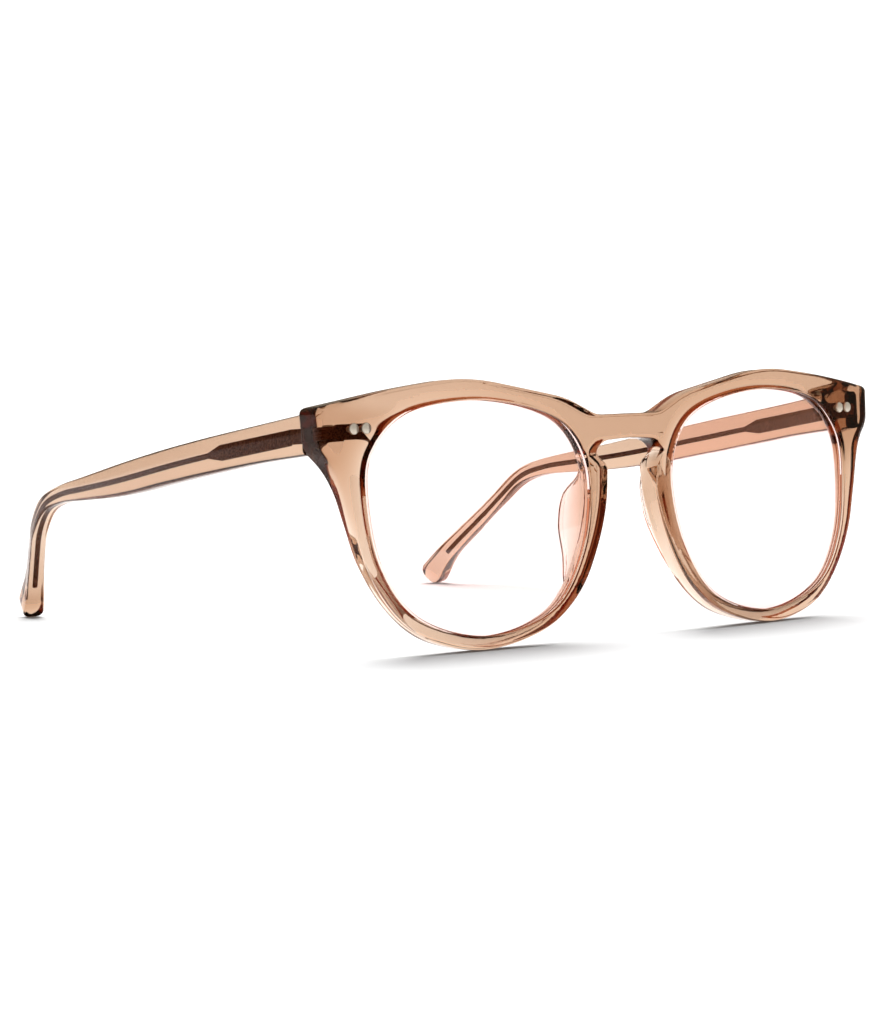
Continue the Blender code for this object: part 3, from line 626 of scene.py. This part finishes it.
def make_rivet_pin(side, x, hand, place, material):
    """Rivet pin with a softly chamfered head, a hair proud of the front face."""
    profile = [(PIN_HEAD_RADIUS - PIN_CHAMFER, -PIN_PROUD),
               (PIN_HEAD_RADIUS - PIN_CHAMFER / 3, PIN_CHAMFER / 3 - PIN_PROUD),
               (PIN_HEAD_RADIUS, PIN_CHAMFER), (PIN_HEAD_RADIUS, PIN_HEAD_DEPTH),
               (PIN_RADIUS, PIN_HEAD_DEPTH), (PIN_RADIUS, PIN_LENGTH)]
    bm = turned(profile, PIN_SEGMENTS, (side * x, bow(x), PIN_Z))
    pin = finish(f"pin_{hand}_{place}", bm, material)
    stand_for(pin, "front", "steel", f"rivet_pin_{hand}_{place}")


# ---------------------------------------------------------------- temple

def sweep_frame(points, index):
    """Middle, side and up directions of a station on a swept path."""
    before = Vector(points[max(0, index - 1)][:3])
    after = Vector(points[min(len(points) - 1, index + 1)][:3])
    along = (after - before).normalized()
    across = along.cross(Vector((0, 0, 1))).normalized()
    return Vector(points[index][:3]), across, across.cross(along)


def rounded_section(middle, across, up, half_thickness, half_height, radius, crown=0.0,
                    steps=6):
    """Rounded rectangle of four corners, each an arc with steps + 1 points. Its sides are
    crowned: they fall back by the crown's height towards the top and the bottom."""
    radius = min(radius, half_thickness * LARGEST_ROUND, half_height * LARGEST_ROUND)
    ring = []
    for corner, (sx, sz) in enumerate(((1, 1), (-1, 1), (-1, -1), (1, -1))):
        for step in range(steps + 1):
            angle = math.pi / 2 * (corner + step / steps)
            x = sx * (half_thickness - radius) + radius * math.cos(angle)
            z = sz * (half_height - radius) + radius * math.sin(angle)
            x -= math.copysign(crown, x) * (z / half_height) ** 2
            ring.append(middle + across * x + up * z)
    return ring


def core_size(y):
    """Half thickness and half height of the core at y: a plate, a pointed end, then wire."""
    share = min(1.0, max(0.0, (y - PLATE_SHOULDER_Y) / (PLATE_TIP_Y - PLATE_SHOULDER_Y)))
    height = PLATE_HALF_HEIGHT + (WIRE_RADIUS - PLATE_HALF_HEIGHT) * share
    thick = PLATE_HALF_THICKNESS + (WIRE_RADIUS - PLATE_HALF_THICKNESS) * share
    return thick, height


def make_core_wire(side, hand, material):
    """Steel plate that narrows into the wire which stiffens the temple."""
    path = spline(TEMPLE, TEMPLE_STEPS)
    stations = []
    for y in (PLATE_START_Y, PLATE_SHOULDER_Y - SHOULDER_LEAD, PLATE_SHOULDER_Y, PLATE_TIP_Y,
              PLATE_TIP_Y + POINT_RUN):
        after = next(i for i, point in enumerate(path) if point[1] > y)
        a, b = path[after - 1], path[after]
        share = (y - a[1]) / (b[1] - a[1])
        stations.append(tuple(p + (q - p) * share for p, q in zip(a, b)))
    stations += [p for p in path if stations[-1][1] + WIRE_FIRST_STEP < p[1] < WIRE_END_Y]
    rings = []
    for index, station in enumerate(stations):
        middle, across, up = sweep_frame(stations, index)
        thick, height = core_size(station[1])
        growth = CORNER_GROWTH * blend(station[1], (PLATE_SHOULDER_Y, PLATE_TIP_Y))
        corner = min(WIRE_RADIUS, PLATE_CORNER + growth)
        rings.append(rounded_section(middle, across, up, thick, height, corner))
    bm = bmesh.new()
    loft(bm, [mirrored(ring, side) for ring in rings])
    core = finish(f"core_{hand}", bm, material)
    stand_for(core, f"temple_{hand}", "core", f"core_wire_{hand}")


def make_temple(side, hand, material):
    """Polished temple with its turned-down tail."""
    path = spline(TEMPLE, TEMPLE_STEPS)
    rings = []
    for index, station in enumerate(path):
        middle, across, up = sweep_frame(path, index)
        rounding = BAR_ROUND + (TAIL_ROUND - BAR_ROUND) * blend(station[1], TAIL_START_Y)
        rings.append(rounded_section(middle, across, up, station[4], station[3], rounding,
                                     FACE_CROWN * (1 - blend(station[1], TAIL_START_Y))))
    rings[0] = [(x, end_back(x) + GAP, z) for x, _, z in rings[0]]
    middle, across, up = sweep_frame(path, len(path) - 1)
    along = up.cross(across)
    half_height, half_thickness = path[-1][3:]
    for step in range(1, TIP_STEPS + 1):
        share = step / TIP_STEPS
        angle = TIP_ANGLE * share
        size = math.cos(angle) ** TIP_FULLNESS
        rings.append(rounded_section(middle + along * TIP_LENGTH * math.sin(angle), across, up,
                                     half_thickness * size, half_height * size,
                                     TAIL_ROUND + share * (TIP_ROUND - TAIL_ROUND)))
    bm = bmesh.new()
    loft(bm, [mirrored(ring, side) for ring in rings])
    temple = finish(f"acetate_temple_{hand}", bm, material)
    stand_for(temple, f"temple_{hand}", "acetate", f"temple_{hand}")


# ---------------------------------------------------------------- materials

def new_material(name):
    """A new material with its node tree and its shader."""
    material = bpy.data.materials.new(name)
    material.use_nodes = True
    tree = material.node_tree
    return material, tree, tree.nodes["Principled BSDF"]


def add_noise(tree, target, scale, detail, low, high):
    """Noise over the object's own coordinates, mapped to a range and sent to a socket."""
    place = tree.nodes.new("ShaderNodeTexCoord")
    noise = tree.nodes.new("ShaderNodeTexNoise")
    noise.inputs["Scale"].default_value = scale
    noise.inputs["Detail"].default_value = detail
    ramp = tree.nodes.new("ShaderNodeMapRange")
    ramp.inputs["To Min"].default_value = low
    ramp.inputs["To Max"].default_value = high
    tree.links.new(place.outputs["Object"], noise.inputs["Vector"])
    tree.links.new(noise.outputs["Fac"], ramp.inputs["Value"])
    tree.links.new(ramp.outputs["Result"], target)
    return noise


def add_bump(tree, shader, height, strength, distance):
    """Tilts a shader's surface by a height that comes out of another node."""
    bump = tree.nodes.new("ShaderNodeBump")
    bump.inputs["Strength"].default_value = strength
    bump.inputs["Distance"].default_value = distance
    tree.links.new(height, bump.inputs["Height"])
    tree.links.new(bump.outputs["Normal"], shader.inputs["Normal"])


def acetate_material():
    """Rose-brown cellulose acetate: clear, polished, tinted all the way through."""
    material, tree, shader = new_material("rose_brown_acetate")
    shader.inputs["Base Color"].default_value = (1.0, 1.0, 1.0, 1.0)
    shader.inputs["Transmission Weight"].default_value = 1.0
    shader.inputs["IOR"].default_value = 1.49
    shader.inputs["Specular Tint"].default_value = (0.30, 0.17, 0.11, 1.0)
    add_noise(tree, shader.inputs["Roughness"], scale=90.0, detail=3.0, low=0.0, high=0.035)
    absorption = tree.nodes.new("ShaderNodeVolumeAbsorption")
    absorption.inputs["Color"].default_value = (0.545, 0.255, 0.0, 1.0)
    absorption.inputs["Density"].default_value = 313.0
    output = tree.nodes["Material Output"]
    tree.links.new(absorption.outputs["Volume"], output.inputs["Volume"])
    return material


def lens_material():
    """Clear coated lens with a faint rose cast."""
    material, tree, shader = new_material("clear_filter_lens")
    shader.inputs["Base Color"].default_value = (1.0, 0.82, 0.80, 1.0)
    shader.inputs["Transmission Weight"].default_value = 1.0
    shader.inputs["IOR"].default_value = 1.5
    add_noise(tree, shader.inputs["Roughness"], scale=40.0, detail=2.0, low=0.0, high=0.01)
    return material


def steel_material():
    """Satin nickel silver of the rivet pins and screws."""
    material, tree, shader = new_material("satin_nickel_silver")
    shader.inputs["Base Color"].default_value = (0.66, 0.60, 0.50, 1.0)
    shader.inputs["Metallic"].default_value = 0.4
    noise = add_noise(tree, shader.inputs["Roughness"], scale=1800.0, detail=4.0,
                      low=0.22, high=0.38)
    add_bump(tree, shader, noise.outputs["Fac"], strength=0.3, distance=0.00002)
    return material


def core_material():
    """Dark sandblasted metal of the temples' cores and of the hinges."""
    material, tree, shader = new_material("blasted_core_steel")
    shader.inputs["Metallic"].default_value = 1.0
    noise = add_noise(tree, shader.inputs["Roughness"], scale=2600.0, detail=5.0,
                      low=0.45, high=0.75)
    shade = tree.nodes.new("ShaderNodeValToRGB")
    shade.color_ramp.elements[0].position = 0.35
    shade.color_ramp.elements[0].color = (0.06, 0.025, 0.015, 1.0)
    shade.color_ramp.elements[1].position = 0.65
    shade.color_ramp.elements[1].color = (0.24, 0.12, 0.07, 1.0)
    tree.links.new(noise.outputs["Fac"], shade.inputs["Fac"])
    tree.links.new(shade.outputs["Color"], shader.inputs["Base Color"])
    add_bump(tree, shader, noise.outputs["Fac"], strength=0.8, distance=0.00006)
    return material


def floor_material():
    """Pale matt surface without any gloss."""
    material, _, shader = new_material("pale_floor")
    shader.inputs["Base Color"].default_value = (FLOOR_SHADE, FLOOR_SHADE, FLOOR_SHADE, 1.0)
    shader.inputs["Specular IOR Level"].default_value = 0.0
    shader.inputs["Roughness"].default_value = 1.0
    return material


# ---------------------------------------------------------------- studio

def make_floor():
    """Wide floor for the glasses to stand on, which is staging and no part of them."""
    bm = bmesh.new()
    bmesh.ops.create_grid(bm, x_segments=4, y_segments=4, size=FLOOR_SIZE)
    mesh = bpy.data.meshes.new("studio_floor")
    bm.to_mesh(mesh)
    bm.free()
    mesh.materials.append(floor_material())
    floor = bpy.data.objects.new("studio_floor", mesh)
    bpy.context.collection.objects.link(floor)
    floor.location.z = -FLOOR_DROP


def make_world():
    """White studio. Light that has been reflected inside a piece comes out weaker and warmer,
    the outside of a piece mirrors a dimmer room than the backdrop, and matt surfaces get less
    of its light, so that the key light can cast soft shadows on the floor."""
    world = bpy.data.worlds.new("studio")
    world.use_nodes = True
    tree = world.node_tree
    background = tree.nodes["Background"]
    path = tree.nodes.new("ShaderNodeLightPath")
    place = tree.nodes.new("ShaderNodeTexCoord")
    side = tree.nodes.new("ShaderNodeVectorMath")
    side.operation = "DOT_PRODUCT"
    side.inputs[1].default_value = LIT_SIDE
    tree.links.new(place.outputs["Generated"], side.inputs[0])
    inner = tree.nodes.new("ShaderNodeCombineColor")
    for channel, (dark, lit) in enumerate(zip(INNER_DARK_SIDE, INNER_LIT_SIDE)):
        share = tree.nodes.new("ShaderNodeMapRange")
        share.inputs["From Min"].default_value = LIT_SIDE_EDGES[0]
        share.inputs["From Max"].default_value = LIT_SIDE_EDGES[1]
        share.inputs["To Min"].default_value = dark
        share.inputs["To Max"].default_value = lit
        power = tree.nodes.new("ShaderNodeMath")
        power.operation = "POWER"
        tree.links.new(side.outputs["Value"], share.inputs["Value"])
        tree.links.new(share.outputs["Result"], power.inputs[0])
        tree.links.new(path.outputs["Glossy Depth"], power.inputs[1])
        tree.links.new(power.outputs["Value"], inner.inputs[channel])
    outer = tree.nodes.new("ShaderNodeMath")
    outer.operation = "MULTIPLY"
    tree.links.new(path.outputs["Is Reflection Ray"], outer.inputs[0])
    tree.links.new(path.outputs["Is Glossy Ray"], outer.inputs[1])
    colour = tree.nodes.new("ShaderNodeMix")
    colour.data_type = "RGBA"
    colour_a, colour_b = (socket for socket in colour.inputs if socket.type == "RGBA")
    colour_b.default_value = (*MIRRORED_LIGHT, 1.0)
    result = next(socket for socket in colour.outputs if socket.type == "RGBA")
    tree.links.new(outer.outputs["Value"], colour.inputs["Factor"])
    tree.links.new(inner.outputs["Color"], colour_a)
    tree.links.new(result, background.inputs["Color"])
    diffuse = tree.nodes.new("ShaderNodeMath")
    diffuse.operation = "POWER"
    diffuse.inputs[0].default_value = DIFFUSE_SHARE
    tree.links.new(path.outputs["Diffuse Depth"], diffuse.inputs[1])
    strength = tree.nodes.new("ShaderNodeMath")
    strength.operation = "MULTIPLY"
    strength.inputs[0].default_value = BACKDROP_LIGHT
    tree.links.new(diffuse.outputs["Value"], strength.inputs[1])
    tree.links.new(strength.outputs["Value"], background.inputs["Strength"])
    scene = bpy.context.scene
    scene.world = world
    scene.view_settings.view_transform = "Standard"
    # Light crosses many walls of acetate and lens before it gets out.
    scene.cycles.max_bounces = 24
    scene.cycles.glossy_bounces = 12
    scene.cycles.transmission_bounces = 16


def make_key_light():
    """Soft light from above and behind, which only the matt floor answers to."""
    data = bpy.data.lights.new("key", "SUN")
    data.energy = KEY_LIGHT
    data.angle = KEY_ANGLE
    key = bpy.data.objects.new("key", data)
    bpy.context.collection.objects.link(key)
    key.visible_glossy = False
    key.visible_transmission = False
    towards = Vector((math.sin(CAMERA_AZIMUTH) * math.sin(KEY_TILT),
                      -math.cos(CAMERA_AZIMUTH) * math.sin(KEY_TILT), -math.cos(KEY_TILT)))
    key.rotation_euler = towards.to_track_quat("-Z", "Y").to_euler()


def make_camera():
    """Long lens, just above the floor, at the wearer's right."""
    aim = STANCE @ Vector(CAMERA_AIM)
    level = math.cos(CAMERA_ELEVATION)
    back = Vector((math.sin(CAMERA_AZIMUTH) * level, -math.cos(CAMERA_AZIMUTH) * level,
                   math.sin(CAMERA_ELEVATION)))
    data = bpy.data.cameras.new("camera")
    data.lens = CAMERA_LENS
    data.clip_start, data.clip_end = CAMERA_CLIP
    camera = bpy.data.objects.new("camera", data)
    bpy.context.collection.objects.link(camera)
    camera.location = aim + back * CAMERA_DISTANCE
    turn = back.to_track_quat("Z", "Y").to_matrix() @ Matrix.Rotation(CAMERA_ROLL, 3, "Z")
    camera.rotation_euler = turn.to_euler()
    bpy.context.scene.camera = camera


# ---------------------------------------------------------------- assembly

def build():
    """Makes every piece, gives the CAD hinges and screws their looks, and sets the studio."""
    acetate = acetate_material()
    lens = lens_material()
    steel = steel_material()
    core = core_material()
    make_front(acetate)
    for side, hand in ((1, "left"), (-1, "right")):
        make_lens(side, hand, lens)
        for x, place in zip(PIN_X, ("inner", "outer")):
            make_rivet_pin(side, x, hand, place, steel)
        make_core_wire(side, hand, core)
        make_temple(side, hand, acetate)
        frame["nodes"][f"hinge_screw_{hand}"].material_slots[0].material = steel
        for node in ("front_hinge", "temple_hinge"):
            frame["nodes"][f"{node}_{hand}"].material_slots[0].material = core
    make_floor()
    make_world()
    make_key_light()
    make_camera()


build()
